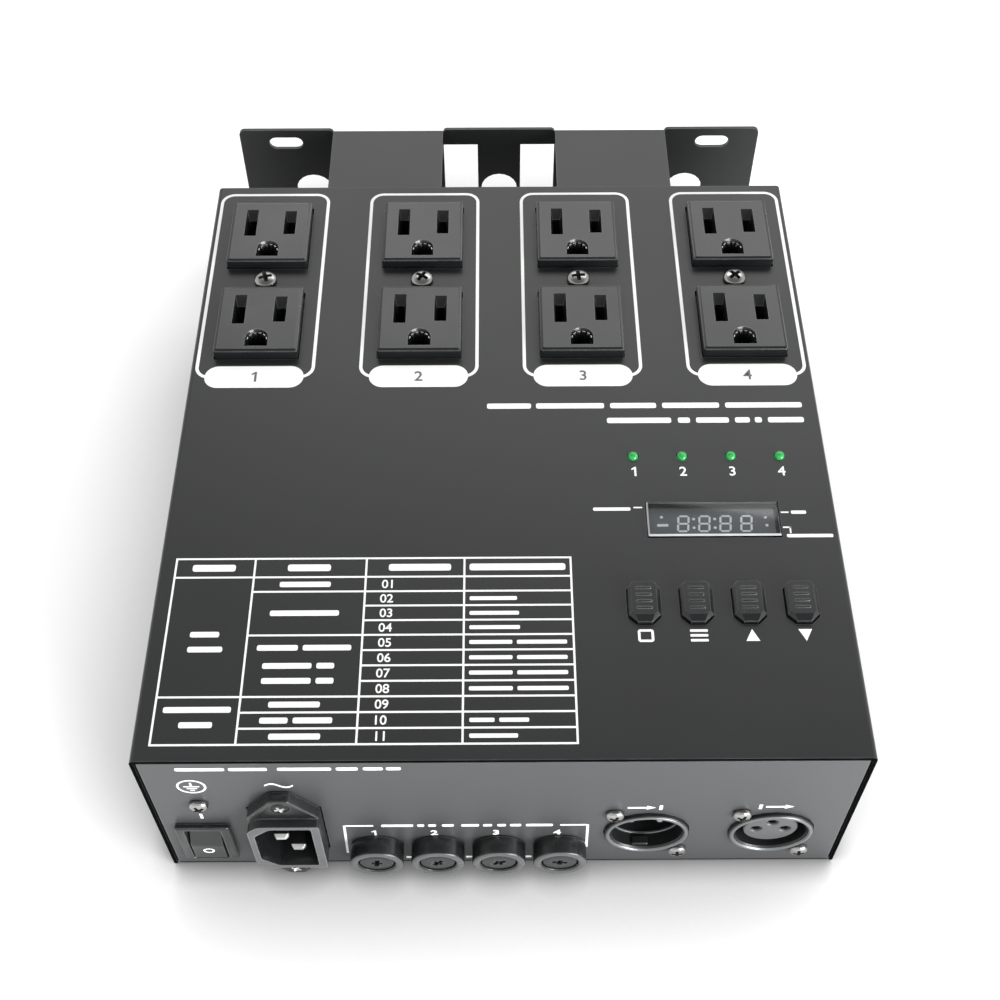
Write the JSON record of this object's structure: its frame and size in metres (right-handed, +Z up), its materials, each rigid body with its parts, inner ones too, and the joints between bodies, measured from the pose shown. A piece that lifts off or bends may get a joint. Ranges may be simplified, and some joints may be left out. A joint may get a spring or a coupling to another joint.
{
  "type": "stage dimmer pack",
  "caption": "Compact stage dimmer pack: flat steel box with duplex outlets and a small display on top, connectors and fuses on the front, and a folded hanging bracket behind.",
  "frame": {"origin": "middle of the casing's underside, on the plane that the pack rests on", "axes": "+X to the right seen from the front panel, +Y from the front panel to the hanging bracket, +Z up out of the outlet face"},
  "size_m": [0.19, 0.2662, 0.0695],
  "materials": {
    "casing_paint": "dark charcoal powder coat, satin",
    "bracket_paint": "dark charcoal powder coat, satin",
    "nickel": "bright nickel plating",
    "black_zinc": "black zinc plating, glossy",
    "receptacle_plastic": "moulded black, semi-matt",
    "led_lens": "green tinted epoxy lens",
    "clear_acrylic": "clear polished acrylic",
    "grey_plastic": "moulded mid grey, semi-matt",
    "button_plastic": "moulded black, fine matt",
    "connector_plastic": "moulded black nylon",
    "circuit_board": "green solder mask",
    "fuse_glass": "clear glass tube with nickel end caps",
    "aluminium": "extruded, plain",
    "choke_winding": "enamelled copper wire",
    "laminated_steel": "varnished laminated steel"
  },
  "bodies": {
    "casing": {"chassis_tray": "casing_paint", "top_cover": "casing_paint", "hanging_bracket": "bracket_paint", "bracket_screw_left": "nickel", "bracket_screw_right": "nickel", "receptacle_1": "receptacle_plastic", "receptacle_2": "receptacle_plastic", "receptacle_3": "receptacle_plastic", "receptacle_4": "receptacle_plastic", "receptacle_screw_1": "nickel", "receptacle_screw_2": "nickel", "receptacle_screw_3": "nickel", "receptacle_screw_4": "nickel", "channel_led_1": "led_lens", "channel_led_2": "led_lens", "channel_led_3": "led_lens", "channel_led_4": "led_lens", "display_window": "clear_acrylic", "display_module": "grey_plastic", "control_board": "circuit_board", "rocker_housing": "connector_plastic", "inlet_housing": "connector_plastic", "inlet_line_pin": "nickel", "inlet_neutral_pin": "nickel", "inlet_earth_pin": "nickel", "inlet_screw_upper": "black_zinc", "inlet_screw_lower": "black_zinc", "earth_screw": "nickel", "fuse_holder_1": "connector_plastic", "fuse_holder_2": "connector_plastic", "fuse_holder_3": "connector_plastic", "fuse_holder_4": "connector_plastic", "signal_in_shell": "grey_plastic", "signal_in_insert": "connector_plastic", "signal_in_screw_upper": "nickel", "signal_in_screw_lower": "nickel", "signal_out_shell": "grey_plastic", "signal_out_insert": "grey_plastic", "signal_out_screw_upper": "nickel", "signal_out_screw_lower": "nickel", "power_board": "circuit_board", "heat_sink": "aluminium", "filter_choke_1": "choke_winding", "filter_choke_2": "choke_winding", "filter_choke_3": "choke_winding", "filter_choke_4": "choke_winding", "transformer": "laminated_steel"},
    "mode_key": {"mode_button": "button_plastic"},
    "menu_key": {"menu_button": "button_plastic"},
    "up_key": {"up_button": "button_plastic"},
    "down_key": {"down_button": "button_plastic"},
    "rocker": {"rocker_paddle": "connector_plastic"},
    "fuse_body_1": {"fuse_1": "fuse_glass"},
    "fuse_body_2": {"fuse_2": "fuse_glass"},
    "fuse_body_3": {"fuse_3": "fuse_glass"},
    "fuse_body_4": {"fuse_4": "fuse_glass"},
    "cap_body_1": {"fuse_cap_1": "connector_plastic"},
    "cap_body_2": {"fuse_cap_2": "connector_plastic"},
    "cap_body_3": {"fuse_cap_3": "connector_plastic"},
    "cap_body_4": {"fuse_cap_4": "connector_plastic"}
  },
  "joints": [
    {"name": "mode_press", "type": "slide", "parent": "casing", "child": "mode_key", "axis": [0, 0, -1], "range_m": [0, 0.0006], "stiffness_N_per_m": 2500, "springref_m": -0.0002},
    {"name": "menu_press", "type": "slide", "parent": "casing", "child": "menu_key", "axis": [0, 0, -1], "range_m": [0, 0.0006], "stiffness_N_per_m": 2500, "springref_m": -0.0002},
    {"name": "up_press", "type": "slide", "parent": "casing", "child": "up_key", "axis": [0, 0, -1], "range_m": [0, 0.0006], "stiffness_N_per_m": 2500, "springref_m": -0.0002},
    {"name": "down_press", "type": "slide", "parent": "casing", "child": "down_key", "axis": [0, 0, -1], "range_m": [0, 0.0006], "stiffness_N_per_m": 2500, "springref_m": -0.0002},
    {"name": "rocker_rock", "type": "hinge", "parent": "casing", "child": "rocker", "pos_m": [-0.0824, -0.107, 0.0183], "axis": [1, 0, 0], "range_deg": [0, 24]},
    {"name": "fuse_pull_1", "type": "slide", "parent": "casing", "child": "fuse_body_1", "axis": [0, -1, 0], "range_m": [0, 0.03]},
    {"name": "fuse_pull_2", "type": "slide", "parent": "casing", "child": "fuse_body_2", "axis": [0, -1, 0], "range_m": [0, 0.03]},
    {"name": "fuse_pull_3", "type": "slide", "parent": "casing", "child": "fuse_body_3", "axis": [0, -1, 0], "range_m": [0, 0.03]},
    {"name": "fuse_pull_4", "type": "slide", "parent": "casing", "child": "fuse_body_4", "axis": [0, -1, 0], "range_m": [0, 0.03]},
    {"name": "cap_turn_1", "type": "hinge", "parent": "fuse_body_1", "child": "cap_body_1", "pos_m": [-0.03549, -0.11, 0.0122], "axis": [0, -1, 0], "range_deg": [0, 90]},
    {"name": "cap_turn_2", "type": "hinge", "parent": "fuse_body_2", "child": "cap_body_2", "pos_m": [-0.01839, -0.11, 0.0122], "axis": [0, -1, 0], "range_deg": [0, 90]},
    {"name": "cap_turn_3", "type": "hinge", "parent": "fuse_body_3", "child": "cap_body_3", "pos_m": [-0.00129, -0.11, 0.0122], "axis": [0, -1, 0], "range_deg": [0, 90]},
    {"name": "cap_turn_4", "type": "hinge", "parent": "fuse_body_4", "child": "cap_body_4", "pos_m": [0.01581, -0.11, 0.0122], "axis": [0, -1, 0], "range_deg": [0, 90]}
  ]
}
